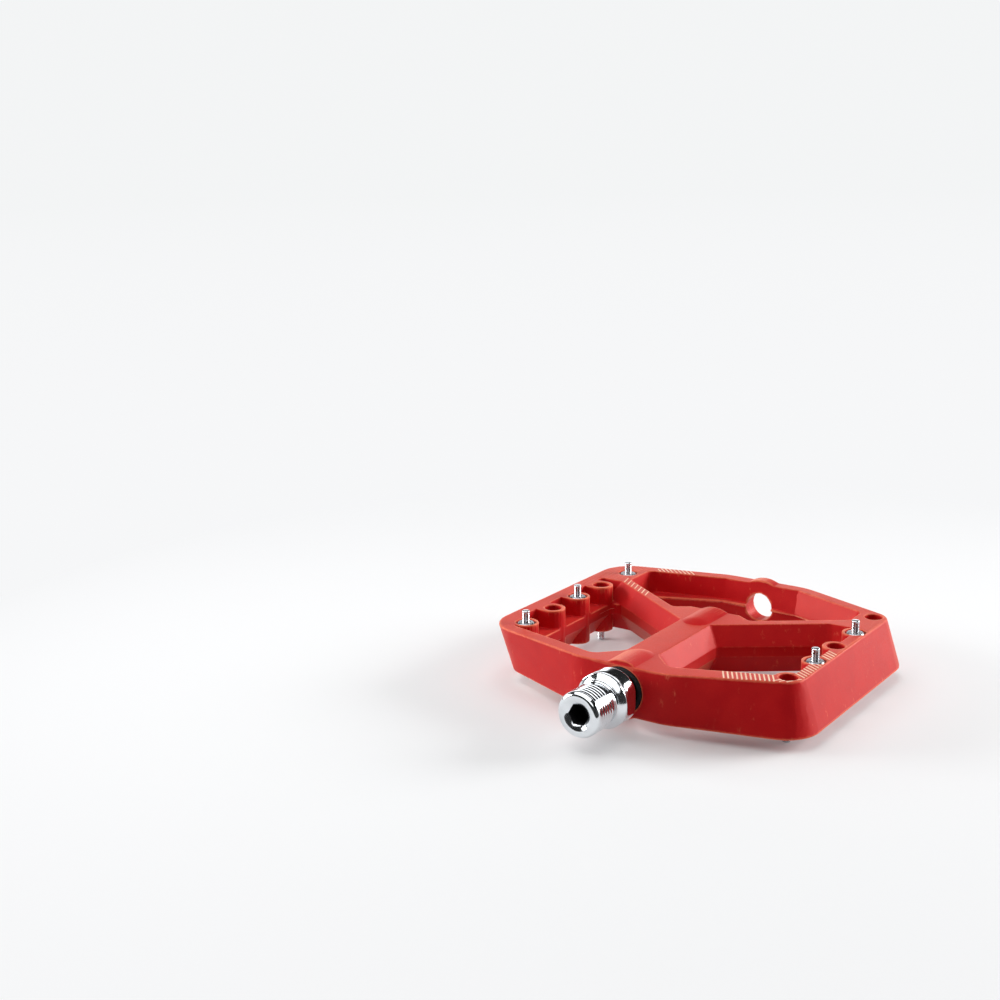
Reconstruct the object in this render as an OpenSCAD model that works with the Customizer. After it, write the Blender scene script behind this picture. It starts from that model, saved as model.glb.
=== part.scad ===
// Flat bicycle pedal with a moulded platform turning on a steel spindle.
// Millimetres. The spindle lies along Y, its crank shoulder at the origin, the platform towards +Y.
// The platform looks the same after half a turn about the spindle.

/* [Platform] */
// Length of the platform along the spindle
platform_len = 101.5; // [98:0.1:108]
// Spindle axis to the edge of a face on its wide side
wide_reach = 56; // [55:0.1:59]
// Spindle axis to the edge of a face on its narrow side
narrow_reach = 51; // [50.5:0.1:53]
// Thickness between the two faces
platform_t = 16.3; // [15.5:0.1:18]
// Half width of the blunt flat at both ends
end_flat = 15; // [13:0.5:18]
// Fall of the end bars per millimetre of width, wide side
wide_fall = 0.25; // [0.2:0.01:0.3]
// Fall of the end bars per millimetre of width, narrow side
narrow_fall = 0.41; // [0.36:0.01:0.44]
// Corner radius in plan, wide side
wide_corner_r = 12; // [10:0.5:15]
// Corner radius in plan, narrow side
narrow_corner_r = 6.5; // [5:0.5:11]
// Blend radius beside the blunt flats
flat_blend_r = 20; // [10:1:30]
// Rounding along the outer edges of both faces
edge_r = 0.4; // [0.3:0.1:1.5]
// Gap between the crank shoulder and the platform
crank_gap = 12; // [11:0.1:15]

/* [Walls and struts] */
// Width of the land on all three bars of the wide side
wide_land = 4.7; // [4:0.1:5.2]
// Width of the land on the rail of the narrow side
narrow_land = 3.9; // [3.3:0.1:4.5]
// Width of the land on the outboard bar of the narrow side, along the spindle
outer_land = 4.65; // [3.8:0.05:6]
// Width of the land on the inboard bar of the narrow side, along the spindle
inner_land = 6.2; // [5:0.1:7.5]
// How far the window walls lean in between a face and the upright band
wall_draft = 2.7; // [2:0.1:3.2]
// How far the narrow rail leans in between a face and the upright band
rail_draft = 3.9; // [3:0.1:4.4]
// How far the pocket walls lean in between a face and the pocket floor
pocket_draft = 0.6; // [0.2:0.1:1.2]
// Half height of the upright band round the side windows
side_band = 1.8; // [1:0.1:2.5]
// Half height of the upright band round the outboard window
outer_band = 0.5; // [0.3:0.1:1.2]
// How far the parting flash stands into the windows
flash = 0.1; // [0.05:0.05:0.2]
// Edge of a face on its narrow side to the outboard window
outer_rail = 9.7; // [8.5:0.1:12]
// Half width of the outboard window's flat behind the tool hole
outer_flat = 14; // [12:0.5:16]
// Corner pin to the end of the side window, wide side
wide_block = 10; // [9:0.1:11]
// Corner pin to the end of the side window, narrow side
narrow_block = 14; // [13:0.1:15]
// Rise of the struts per millimetre of width
strut_rise = 0.69; // [0.64:0.01:0.74]
// Barrel end to where the strut centre lines cross the spindle
strut_root = 15.3; // [13:0.1:18]
// Width of a strut at a face
strut_face_w = 3.5; // [2.6:0.1:5]
// Width of a strut at its upright band
strut_mid_w = 10.5; // [8:0.1:11.5]
// Shoulder between the barrel's end and a strut, at a face
face_shoulder = 5.2; // [4:0.1:6]
// The same shoulder at the upright band
band_shoulder = 3; // [2:0.1:4]

/* [Window corners] */
// Radius where the gussets meet the barrel and the inboard bar
gusset_r = 4; // [2:0.5:6]
// Radius at the rail's inboard corner, narrow side
rail_corner_r = 6; // [3:0.5:8]
// Radius at the rail's inboard corner, wide side
pocket_corner_r = 7; // [3:0.5:9]
// Radius where a strut leaves the barrel, and at the rail's outboard corner
foot_corner_r = 2; // [1:0.25:3]
// Radius of the pockets beside the corner pins
block_corner_r = 1.5; // [0.75:0.25:2.5]
// Radius at the far end of a strut
strut_corner_r = 3; // [1.5:0.5:4]
// Radius where a strut leaves the shoulder
root_corner_r = 2.5; // [1:0.25:3.5]
// Radius at the barrel's end and beside the tool hole
end_corner_r = 1; // [0.5:0.25:1.5]

/* [Barrel] */
// Length of the barrel from the inboard face
barrel_len = 61.5; // [58:0.1:66]
// Width of the flat along each side of the barrel
barrel_flat_w = 10.6; // [9.6:0.1:11.6]
// Width of the barrel at its upright band
barrel_mid_w = 17.4; // [16.8:0.1:19]
// Half width of the square end of the barrel
barrel_end_half = 9; // [8.4:0.1:10]
// Radius of the round humps over the bore
hump_r = 9.45; // [9.1:0.05:10.2]
// Length of the hump over the inboard bushing
inner_hump_len = 15.4; // [13:0.1:20]
// Length of the hump over the bearings
outer_hump_len = 17.2; // [14:0.1:20]
// Length of the gusset between the barrel and the inboard bar
gusset_len = 7.5; // [5:0.1:10]
// Tool hole through the outboard bar
tool_hole_d = 9.8; // [8:0.1:11]

/* [Spindle] */
// Outside diameter of the crank thread
thread_d = 14.24; // [14.1:0.02:14.3]
// Length of the crank thread from the shoulder
thread_len = 12.5; // [11:0.1:15]
// Chamfer at the end of the thread
thread_chamfer = 1.2; // [0.8:0.1:1.6]
// Diameter of the collar
collar_d = 17.3; // [16.8:0.1:18]
// Thickness of the round flange at the shoulder
flange_t = 2.2; // [1.5:0.1:3]
// Width of the groove between the flange and the hexagon
groove_len = 0.5; // [0.3:0.1:0.8]
// Diameter at the bottom of that groove
groove_d = 14.4; // [13.6:0.1:14.8]
// Spanner size of the hexagon
hex_af = 15; // [14.8:0.1:15.2]
// Length of the spanner flats
hex_len = 5.5; // [4.5:0.1:6.5]
// Bevel at both ends of the collar
collar_bevel = 0.8; // [0.4:0.1:1.2]
// Diameter of the plain journal
journal_d = 12; // [11.6:0.1:12.4]
// Plain journal beyond the bushing, before the taper
journal_tail = 1; // [0.5:0.1:3]
// Hexagon socket in the crank end
socket_af = 6; // [5.5:0.1:8]
// Depth of the socket
socket_depth = 8; // [5:0.5:10]
// Diameter of the shallow countersink around the socket
dish_d = 9.5; // [8:0.1:10.5]
// Depth of that countersink
dish_depth = 0.9; // [0.4:0.1:1.4]
// Thread for the lock nut
tail_d = 7; // [6:0.1:7.6]

/* [Bushing and seal] */
// Wall of the bushing
bushing_wall = 0.95; // [0.8:0.05:1.2]
// Length of the bushing
bushing_len = 13; // [10:0.5:16]
// Running clearance around the journal
run_clearance = 0.05; // [0.02:0.01:0.09]
// Radial thickness of the seal
seal_wall = 1.3; // [1.1:0.05:1.5]
// Length of the seal in its seat
seal_len = 2.4; // [1.8:0.1:3]
// How far the seal stands out of the platform
seal_proud = 0.4; // [0.2:0.1:0.8]

/* [Bearings] */
// Bore of a bearing
bearing_id = 8; // [7.8:0.1:8.4]
// Outside diameter of a bearing
bearing_od = 14; // [13.8:0.1:14.4]
// Width of a bearing
bearing_w = 4; // [3.8:0.1:5]
// Diameter of a ball
ball_d = 2; // [1.7:0.1:2.1]
// Balls in a bearing
ball_count = 10; // [8:1:11]
// Clearance between ball and groove
ball_clearance = 0.05; // [0.03:0.01:0.08]
// Radial gap between the two races
race_gap = 1; // [0.9:0.05:1.2]
// Radial thickness of the cage
cage_t = 0.5; // [0.4:0.05:0.6]
// Thickness of a shield
shield_t = 0.3; // [0.2:0.05:0.4]
// Step that carries the outer races
bore_step = 0.5; // [0.3:0.05:0.7]

/* [Fastenings] */
// Thickness of the washer
washer_t = 0.8; // [0.6:0.1:1.2]
// Spanner size of the lock nut
lock_nut_af = 10; // [9:0.1:11]
// Thickness of the lock nut
lock_nut_t = 5; // [4:0.1:6]
// Spindle tail beyond the lock nut
tail_proud = 0.6; // [0.3:0.1:1.2]
// Free space between spindle tail and cap
cap_gap = 0.8; // [0.5:0.1:1.5]
// Diameter of the end cap
cap_d = 15.2; // [14.8:0.1:16]
// Thickness of the cap's rim
cap_rim_t = 1.3; // [1:0.1:2]
// Length of the cap's plug
cap_plug_len = 3.5; // [3:0.1:4.5]
// Hexagon socket in the cap
cap_socket_af = 6; // [5:0.1:8]
// Depth of the socket in the cap
cap_socket_depth = 3; // [2:0.1:3.4]
// Section of the ring seal under the cap
ring_d = 0.9; // [0.7:0.05:1.1]

/* [Pins] */
// Edge of a face on its narrow side to the row of pins
pin_inset = 3.8; // [3.4:0.1:4.4]
// How far the corner pins stand in from their row
corner_inset = 0.8; // [0:0.1:1.5]
// Step between the middle pins of a row
mid_step = 15.5; // [14:0.1:16.5]
// Step between a corner pin and its neighbour
corner_step = 17.4; // [16.5:0.1:18.2]
// Diameter of a pin boss
boss_d = 8.4; // [8:0.1:9]
// Diameter of a pin
pin_d = 2.6; // [2.4:0.1:3]
// How far a pin stands above its face
pin_stand = 4; // [3:0.1:5]
// Diameter of a pin's head
pin_head_d = 5.2; // [4.6:0.1:5.4]
// Length of a pin's head
pin_head_len = 3; // [2.4:0.1:4]
// Socket in a pin's head
pin_socket_af = 2.5; // [2:0.1:3]
// Depth of that socket
pin_socket_depth = 2.1; // [1.6:0.1:2.3]
// Diameter of the hole that a pin's head lies in
head_hole_d = 5.8; // [5.6:0.1:6.2]
// Depth of that hole
head_hole_depth = 8.5; // [6:0.1:9.5]
// Spanner size of a pin nut
nut_af = 5.5; // [5:0.1:5.6]
// Thickness of a pin nut
nut_t = 1.8; // [1.4:0.1:2.4]
// Clearance around pins and nuts in the platform
seat_clearance = 0.1; // [0.05:0.01:0.2]

/* [Hidden] */
$fn = 64;
corner_steps = 6;
corner_share = 0.45;
overcut = 1;
band_lap = 2;

h = platform_t / 2;
y_in = crank_gap;
y_out = y_in + platform_len;
y_mid = y_in + platform_len / 2;
half_len = platform_len / 2;
outer_window = narrow_reach - outer_rail;
pin_reach = narrow_reach - pin_inset;

// Pins stand on the upper face at the odd places of the wide row and the even places of the narrow row.
pin_offsets = [mid_step + corner_step, mid_step, 0, -mid_step, -mid_step - corner_step];
corner_pin_y = y_mid + mid_step + corner_step;
function is_corner(i) = i == 0 || i == len(pin_offsets) - 1;
function pin_x(i) = pin_reach - (is_corner(i) ? corner_inset : 0);
function pin_side(i) = i % 2 == 0 ? -1 : 1;
pin_hole_r = pin_d / 2 + seat_clearance;
nut_seat_r = nut_af / sqrt(3) + seat_clearance;
nut_seat_depth = nut_t + seat_clearance;

// Everything on the spindle is stacked from the barrel's end inwards.
barrel_y = y_in + barrel_len;
tail_y = barrel_y - cap_plug_len - cap_gap;
lock_nut_y = tail_y - tail_proud - lock_nut_t;
washer_y = lock_nut_y - washer_t;
outer_bearing_y = washer_y - bearing_w;
inner_bearing_y = outer_bearing_y - bearing_w;
seal_y = y_in + seal_len;
bushing_end_y = seal_y + bushing_len;

journal_r = journal_d / 2;
bushing_r = journal_r + run_clearance + bushing_wall;
seal_r = journal_r + run_clearance + seal_wall;
bearing_r = bearing_od / 2;
step_bore_r = min(bearing_r, bushing_r) - bore_step;
pitch_r = (bearing_id + bearing_od) / 4;
inner_land_r = pitch_r - race_gap / 2;
outer_land_r = pitch_r + race_gap / 2;
groove_r = ball_d / 2 + ball_clearance;
shield_r = (outer_land_r + bearing_r) / 2;
shoulder_r = inner_land_r - ball_clearance;

strut_y = barrel_y - strut_root;
strut_cos = cos(atan(strut_rise));
face_half = strut_face_w / 2 / strut_cos;
mid_half = strut_mid_w / 2 / strut_cos;

steel = [0.80, 0.81, 0.83];
dark_steel = [0.50, 0.52, 0.55];
nylon_red = [0.78, 0.09, 0.13];
rubber = [0.06, 0.06, 0.06];
bronze = [0.66, 0.50, 0.30];

function unit(v) = v / norm(v);
function mix(a, b, t) = a * (1 - t) + b * t;
function turned(v) = [-v.y, v.x];

// Corner p of a polygon as an arc of radius wanted, or less where its sides are short.
function arc_corner(before, p, after, wanted) =
  let (
    a = unit(before - p),
    b = unit(after - p),
    half = acos(a * b) / 2,
    room = corner_share * min(norm(before - p), norm(after - p)),
    r = min(wanted, room * tan(half)),
    c = p + unit(a + b) * r / sin(half),
    start = p + a * r / tan(half) - c,
    finish = p + b * r / tan(half) - c,
    from = atan2(start.y, start.x),
    raw = atan2(finish.y, finish.x) - from,
    sweep = raw > 180 ? raw - 360 : raw < -180 ? raw + 360 : raw
  )
  [for (i = [0:corner_steps])
    let (angle = from + sweep * i / corner_steps)
    c + r * [cos(angle), sin(angle)]];

// A polygon with each corner rounded by its own radius.
function rounded(pts, radii) =
  let (n = len(pts))
  [for (i = [0:n - 1]) each arc_corner(pts[(i + n - 1) % n], pts[i], pts[(i + 1) % n], radii[i])];

// A counter-clockwise polygon with every edge moved inwards by d.
function inset(pts, d) =
  let (n = len(pts))
  [for (i = [0:n - 1])
    let (
      p = turned(unit(pts[i] - pts[(i + n - 1) % n])),
      q = turned(unit(pts[(i + 1) % n] - pts[i]))
    )
    pts[i] + (p + q) * d / (1 + p * q)];

function at_height(pts, z) = [for (p = pts) [p.x, p.y, z]];

function centre(ring) = [for (p = ring) 1] * ring / len(ring);

// A solid skinned over counter-clockwise rings of equal length, lowest ring first.
module loft(rings) {
  n = len(rings[0]);
  m = len(rings);
  low = m * n;
  high = low + 1;
  caps = [centre(rings[0]), centre(rings[m - 1])];
  sides = [for (j = [0:m - 2]) for (i = [0:n - 1])
    let (k = (i + 1) % n)
    each [
      [j * n + i, (j + 1) * n + i, (j + 1) * n + k],
      [j * n + i, (j + 1) * n + k, j * n + k]
    ]];
  floor_faces = [for (i = [0:n - 1]) [low, i, (i + 1) % n]];
  top_faces = [for (i = [0:n - 1]) [high, (m - 1) * n + (i + 1) % n, (m - 1) * n + i]];
  polyhedron(
    concat([for (ring = rings) each ring], caps),
    concat(floor_faces, sides, top_faces),
    convexity = 6
  );
}

// Turns a shape built along Z so that it lies along the spindle.
module along_spindle(y = 0) {
  translate([0, y, 0]) rotate([-90, 0, 0]) children();
}

// Draws the shape as it is and again after half a turn about the spindle.
module both_faces() {
  children();
  rotate([0, 180, 0]) children();
}

// Places a shape on the parting plane at pin place i of the upper face's own pins.
module at_pin(i) {
  translate([pin_side(i) * pin_x(i), y_mid + pin_offsets[i], 0]) children();
}

// How far an end bar's outer edge lies from the middle of the platform.
function bar_edge(x, fall) = half_len - fall * (x - end_flat);

// A face's outline, with its own reach and fall on each side of the spindle.
function outline(left, left_fall, right, right_fall) = [
  [-left, y_mid - bar_edge(left, left_fall)],
  [-end_flat, y_in],
  [end_flat, y_in],
  [right, y_mid - bar_edge(right, right_fall)],
  [right, y_mid + bar_edge(right, right_fall)],
  [end_flat, y_out],
  [-end_flat, y_out],
  [-left, y_mid + bar_edge(left, left_fall)]
];

upper_outline = outline(wide_reach, wide_fall, narrow_reach, narrow_fall);
lower_outline = outline(narrow_reach, narrow_fall, wide_reach, wide_fall);

// The outline at height z, drawn in from the wall by d.
function wall_ring(z, d) =
  let (
    t = (z + h) / platform_t,
    left_r = mix(narrow_corner_r, wide_corner_r, t) - d,
    right_r = mix(wide_corner_r, narrow_corner_r, t) - d,
    b = flat_blend_r,
    radii = [left_r, b, b, right_r, right_r, b, b, left_r]
  )
  at_height(rounded(inset(mix(lower_outline, upper_outline, t), d), radii), z);

// Outer form of the platform: leaning walls between two shifted faces.
module envelope() {
  knee = edge_r * (1 - cos(45));
  edge = [[edge_r, 0], [knee, knee], [0, edge_r]];
  loft(concat(
    [for (e = [2:-1:0]) wall_ring(-h + edge[e][0], edge[e][1])],
    [for (e = [0:2]) wall_ring(h - edge[e][0], edge[e][1])]
  ));
}

function strut_edge(x, half) = strut_y + strut_rise * x + half;
function strut_reach(y, half) = (y - strut_y - half) / strut_rise;

// Side window on the narrow side: d and rail_d lean the walls, bar is the barrel's half width.
function narrow_window(d, rail_d, bar, half) =
  let (
    x = narrow_reach - narrow_land - rail_d,
    end_y = corner_pin_y - narrow_block - d,
    land_y = y_in + inner_land + d,
    rail_y = y_mid - bar_edge(narrow_reach - narrow_land, narrow_fall) + inner_land + d
  )
  [
    [bar, land_y + gusset_len],
    [bar + gusset_len, land_y],
    [x, rail_y],
    [x, end_y],
    [strut_reach(end_y, -half), end_y],
    [bar, strut_edge(bar, -half)]
  ];
narrow_radii = [gusset_r, gusset_r, rail_corner_r, foot_corner_r, strut_corner_r, foot_corner_r];

// Side window on the wide side, whose rail and bar stand back behind a pocket.
function wide_window(d, bar, half) =
  let (
    x = wide_reach - wide_land - d,
    end_y = corner_pin_y - wide_block - d,
    land_y = y_in + wide_land + d,
    rail_y = y_mid - bar_edge(wide_reach - wide_land, wide_fall) + wide_land + d
  )
  [
    [-bar, strut_edge(bar, -half)],
    [-strut_reach(end_y, -half), end_y],
    [-x, end_y],
    [-x, rail_y],
    [-bar - gusset_len, land_y],
    [-bar, land_y + gusset_len]
  ];
wide_radii = [foot_corner_r, block_corner_r, block_corner_r, pocket_corner_r, gusset_r, gusset_r];

// One side of the outboard window, from the barrel's end along the strut to the bar.
function outboard_side(x, corner, flat_y, shoulder, half) =
  let (root = barrel_end_half + shoulder)
  [
    [barrel_end_half, barrel_y],
    [root, min(strut_edge(root, half), barrel_y)],
    [x, strut_edge(x, half)],
    corner,
    [outer_flat, flat_y]
  ];

function narrow_outboard(d, shoulder, half) =
  let (
    x = outer_window - d,
    corner_y = y_mid + bar_edge(outer_window, narrow_fall) - outer_land - d * (1 - narrow_fall)
  )
  outboard_side(x, [x, corner_y], y_out - outer_land - d, shoulder, half);

// Its wide side stands back behind a pocket too.
function wide_outboard(d, wide_d, shoulder, half) =
  let (corner_y = y_mid + bar_edge(outer_window, wide_fall) - wide_land - wide_d)
  outboard_side(
    outer_window - d, [outer_window - wide_d, corner_y], y_out - wide_land - wide_d, shoulder, half
  );

function other_side(pts) = [for (i = [len(pts) - 1:-1:0]) [-pts[i].x, pts[i].y]];
half_radii = [end_corner_r, root_corner_r, strut_corner_r, strut_corner_r, end_corner_r];
outboard_radii = concat(half_radii, [for (i = [len(half_radii) - 1:-1:0]) half_radii[i]]);

flat_half = barrel_flat_w / 2;
flank_half = barrel_mid_w / 2;

// Both windows at their upright bands, drawn in by f.
function narrow_band(f) =
  narrow_window(wall_draft + f, rail_draft + f, flank_half + f, mid_half + f / strut_cos);
function outboard_band(f) = narrow_outboard(wall_draft + f, band_shoulder, mid_half + f / strut_cos);

// Cuts a window from the upper face down to its upright band.
module window_cut(at_face, at_band, radii, band) {
  face_ring = rounded(at_face, radii);
  loft([
    at_height(rounded(at_band, radii), band),
    at_height(face_ring, h),
    at_height(face_ring, h + overcut)
  ]);
}

module upper_windows() {
  window_cut(narrow_window(0, 0, flat_half, face_half), narrow_band(0), narrow_radii, side_band);
  window_cut(
    wide_window(0, flat_half, face_half),
    wide_window(pocket_draft, flank_half, mid_half),
    wide_radii,
    side_band
  );
  window_cut(
    concat(
      narrow_outboard(0, face_shoulder, face_half),
      other_side(wide_outboard(0, 0, face_shoulder, face_half))
    ),
    concat(
      outboard_band(0),
      other_side(wide_outboard(wall_draft, pocket_draft, band_shoulder, mid_half))
    ),
    outboard_radii,
    outer_band
  );
}

// Joins the windows of both faces through an upright band, with the flash left standing.
module through_cut(at_band, radii, band) {
  reach = band + band_lap;
  translate([0, 0, -reach]) linear_extrude(2 * reach) polygon(rounded(at_band, radii));
}

module through_windows() {
  outboard = outboard_band(flash);
  both_faces() through_cut(narrow_band(flash), narrow_radii, side_band);
  through_cut(concat(outboard, other_side(outboard)), outboard_radii, outer_band);
}

// Columns for the pins, from face to face: round towards the spindle and straight back to the rail.
module pin_bosses() {
  column = platform_t + 2 * overcut;
  for (i = [0:len(pin_offsets) - 1]) for (side = [-1, 1])
    translate([side * pin_x(i), y_mid + pin_offsets[i], -h - overcut]) {
      cylinder(d = boss_d, h = column);
      translate([side < 0 ? -wide_reach : 0, -boss_d / 2, 0]) cube([wide_reach, boss_d, column]);
    }
}

// Round back over the bore, rising out of the barrel's flats, with a domed end.
module hump(y, length, dome_at_start) {
  dome = sqrt(max(hump_r * hump_r - h * h, 0.01));
  start = dome_at_start ? dome : 0;
  finish = dome_at_start ? 0 : dome;
  intersection() {
    union() {
      along_spindle(y + start) cylinder(r = hump_r, h = length - dome);
      along_spindle(dome_at_start ? y + start : y + length - finish) sphere(r = hump_r);
    }
    translate([-barrel_flat_w / 2, y, -hump_r - overcut])
      cube([barrel_flat_w, length, 2 * (hump_r + overcut)]);
  }
}

// Stepped bore for seal, bushing, bearings and cap, and the tool hole in line with it.
module barrel_bores() {
  along_spindle(y_in - overcut) cylinder(r = seal_r, h = seal_len + overcut);
  along_spindle(y_in) cylinder(r = bushing_r, h = bushing_end_y - y_in);
  along_spindle(y_in) cylinder(r = step_bore_r, h = barrel_len);
  along_spindle(inner_bearing_y) cylinder(r = bearing_r, h = barrel_y - inner_bearing_y + overcut);
  along_spindle(barrel_y + overcut) cylinder(d = tool_hole_d, h = y_out - barrel_y);
}

// Head hole from below, clearance hole, and nut seat from above, for one of the upper face's pins.
module pin_bores() {
  for (i = [0:len(pin_offsets) - 1]) at_pin(i) {
    translate([0, 0, -h - overcut]) cylinder(d = head_hole_d, h = head_hole_depth + overcut);
    translate([0, 0, -h]) cylinder(r = pin_hole_r, h = platform_t);
    translate([0, 0, h - nut_seat_depth]) cylinder(r = nut_seat_r, h = nut_seat_depth + overcut);
  }
}

module pedal_body() {
  color(nylon_red)
  difference() {
    union() {
      difference() {
        envelope();
        difference() {
          union() {
            both_faces() upper_windows();
            through_windows();
          }
          pin_bosses();
        }
      }
      hump(y_in + edge_r, inner_hump_len - edge_r, false);
      hump(barrel_y - outer_hump_len, outer_hump_len, true);
      along_spindle(y_out - outer_land) cylinder(r = hump_r, h = outer_land - edge_r);
    }
    barrel_bores();
    both_faces() pin_bores();
  }
}

// Turned and tapered axle with crank thread, collar, spanner flats and a bearing seat.
module spindle() {
  thread_r = thread_d / 2;
  collar_r = collar_d / 2;
  hex_y = flange_t + groove_len;
  collar_end = hex_y + hex_len;
  color(steel)
  difference() {
    union() {
      along_spindle() rotate_extrude() polygon([
        [0, -thread_len],
        [thread_r - thread_chamfer, -thread_len],
        [thread_r, -thread_len + thread_chamfer],
        [thread_r, 0],
        [collar_r - collar_bevel, 0],
        [collar_r, collar_bevel],
        [collar_r, flange_t],
        [groove_d / 2, flange_t],
        [groove_d / 2, hex_y],
        [journal_r, hex_y],
        [journal_r, bushing_end_y + journal_tail],
        [shoulder_r, inner_bearing_y],
        [bearing_id / 2, inner_bearing_y],
        [bearing_id / 2, washer_y],
        [tail_d / 2, washer_y],
        [tail_d / 2, tail_y],
        [0, tail_y]
      ]);
      intersection() {
        along_spindle() rotate_extrude() polygon([
          [0, hex_y],
          [collar_r, hex_y],
          [collar_r, collar_end - collar_bevel],
          [collar_r - collar_bevel, collar_end],
          [0, collar_end]
        ]);
        along_spindle(hex_y) rotate(30) cylinder(d = hex_af * 2 / sqrt(3), h = hex_len, $fn = 6);
      }
    }
    along_spindle(-thread_len - overcut)
      cylinder(d = socket_af * 2 / sqrt(3), h = socket_depth + overcut, $fn = 6);
    along_spindle(-thread_len) cylinder(d1 = dish_d, d2 = socket_af, h = dish_depth);
  }
}

// Lip seal in the mouth of the bore.
module inboard_seal() {
  lip = seal_proud / 2;
  color(rubber)
  along_spindle() rotate_extrude() polygon([
    [journal_r + run_clearance, y_in - seal_proud],
    [seal_r - lip, y_in - seal_proud],
    [seal_r, y_in - lip],
    [seal_r, seal_y],
    [journal_r + run_clearance, seal_y]
  ]);
}

// Plain sleeve that carries the crank end of the platform.
module inboard_bushing() {
  color(bronze)
  along_spindle(seal_y) difference() {
    cylinder(r = bushing_r, h = bushing_len);
    translate([0, 0, -overcut]) cylinder(r = journal_r + run_clearance, h = bushing_len + 2 * overcut);
  }
}

// Ring between two radii with a ball groove on the pitch circle.
module race(inside, outside) {
  rotate_extrude() difference() {
    translate([inside, -bearing_w / 2]) square([outside - inside, bearing_w]);
    translate([pitch_r, 0]) circle(r = groove_r);
  }
}

module bearing_inner_race() {
  color(dark_steel) race(bearing_id / 2, inner_land_r);
}

module bearing_outer_race() {
  color(dark_steel) difference() {
    race(outer_land_r, bearing_r);
    for (side = [-1, 1])
      translate([0, 0, side * (bearing_w / 2 - shield_t) - (side < 0 ? overcut + shield_t : 0)])
        cylinder(r = shield_r, h = shield_t + overcut + (side < 0 ? shield_t : 0));
  }
}

module bearing_balls() {
  color(steel)
  for (i = [0:ball_count - 1])
    rotate(i * 360 / ball_count) translate([pitch_r, 0, 0]) sphere(d = ball_d);
}

module bearing_cage() {
  color(bronze)
  difference() {
    cylinder(r = pitch_r + cage_t / 2, h = ball_d + cage_t, center = true);
    cylinder(r = pitch_r - cage_t / 2, h = ball_d + cage_t + overcut, center = true);
    for (i = [0:ball_count - 1])
      rotate(i * 360 / ball_count) rotate([0, 90, 0]) cylinder(r = groove_r, h = bearing_r);
  }
}

module bearing_shields() {
  color(rubber)
  for (side = [-1, 1])
    translate([0, 0, side * (bearing_w - shield_t) / 2]) difference() {
      cylinder(r = shield_r, h = shield_t, center = true);
      cylinder(r = inner_land_r + cage_t / 2, h = shield_t + overcut, center = true);
    }
}

module lock_washer() {
  color(steel)
  along_spindle(washer_y) difference() {
    cylinder(r = shoulder_r, h = washer_t);
    translate([0, 0, -overcut]) cylinder(d = tail_d, h = washer_t + 2 * overcut);
  }
}

module lock_nut() {
  color(steel)
  along_spindle(lock_nut_y) difference() {
    cylinder(d = lock_nut_af * 2 / sqrt(3), h = lock_nut_t, $fn = 6);
    translate([0, 0, -overcut]) cylinder(d = tail_d, h = lock_nut_t + 2 * overcut);
  }
}

// Screwed plug with a bevelled rim and a hexagon socket.
module end_cap() {
  rim_bevel = cap_rim_t / 3;
  rim_r = cap_d / 2;
  ring_seat_y = barrel_y - cap_plug_len / 2;
  color(steel)
  difference() {
    along_spindle() rotate_extrude() difference() {
      polygon([
        [0, barrel_y - cap_plug_len],
        [bearing_r, barrel_y - cap_plug_len],
        [bearing_r, barrel_y],
        [rim_r, barrel_y],
        [rim_r, barrel_y + cap_rim_t - rim_bevel],
        [rim_r - rim_bevel, barrel_y + cap_rim_t],
        [0, barrel_y + cap_rim_t]
      ]);
      translate([bearing_r - ring_d, ring_seat_y - ring_d / 2]) square([ring_d + overcut, ring_d]);
    }
    along_spindle(barrel_y + cap_rim_t - cap_socket_depth)
      cylinder(d = cap_socket_af * 2 / sqrt(3), h = cap_socket_depth + overcut, $fn = 6);
  }
}

module end_cap_ring() {
  color(rubber)
  along_spindle(barrel_y - cap_plug_len / 2) rotate_extrude()
    translate([bearing_r - ring_d / 2, 0]) circle(d = ring_d);
}

// Pin screwed in from the far face: socket head, shank and bevelled tip.
module pin(i) {
  floor_z = -h + head_hole_depth;
  tip_bevel = pin_d / 8;
  color(steel)
  at_pin(i) difference() {
    rotate_extrude() polygon([
      [0, floor_z - pin_head_len],
      [pin_head_d / 2, floor_z - pin_head_len],
      [pin_head_d / 2, floor_z],
      [pin_d / 2, floor_z],
      [pin_d / 2, h + pin_stand - tip_bevel],
      [pin_d / 2 - tip_bevel, h + pin_stand],
      [0, h + pin_stand]
    ]);
    translate([0, 0, floor_z - pin_head_len - overcut])
      cylinder(d = pin_socket_af * 2 / sqrt(3), h = pin_socket_depth + overcut, $fn = 6);
  }
}

module pin_nuts() {
  color(steel)
  for (i = [0:len(pin_offsets) - 1]) at_pin(i) translate([0, 0, h - nut_seat_depth]) difference() {
    cylinder(d = nut_af * 2 / sqrt(3), h = nut_t, $fn = 6);
    translate([0, 0, -overcut]) cylinder(d = pin_d, h = nut_t + 2 * overcut);
  }
}

// One piece of the bearing that starts at y, by its name.
module bearing_piece(piece, y) {
  along_spindle(y + bearing_w / 2) {
    if (piece == "inner_race") bearing_inner_race();
    if (piece == "outer_race") bearing_outer_race();
    if (piece == "balls") bearing_balls();
    if (piece == "cage") bearing_cage();
    if (piece == "shields") bearing_shields();
  }
}

pedal_body();
spindle();
inboard_seal();
inboard_bushing();
for (p = ["inner_race", "outer_race", "balls", "cage", "shields"]) {
  bearing_piece(p, inner_bearing_y);
  bearing_piece(p, outer_bearing_y);
}
lock_washer();
lock_nut();
end_cap();
end_cap_ring();
for (i = [0:len(pin_offsets) - 1]) {
  pin(i);
  rotate([0, 180, 0]) pin(i);
}
pin_nuts();  // upper_pin_nuts
rotate([0, 180, 0]) pin_nuts();  // lower_pin_nuts
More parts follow.
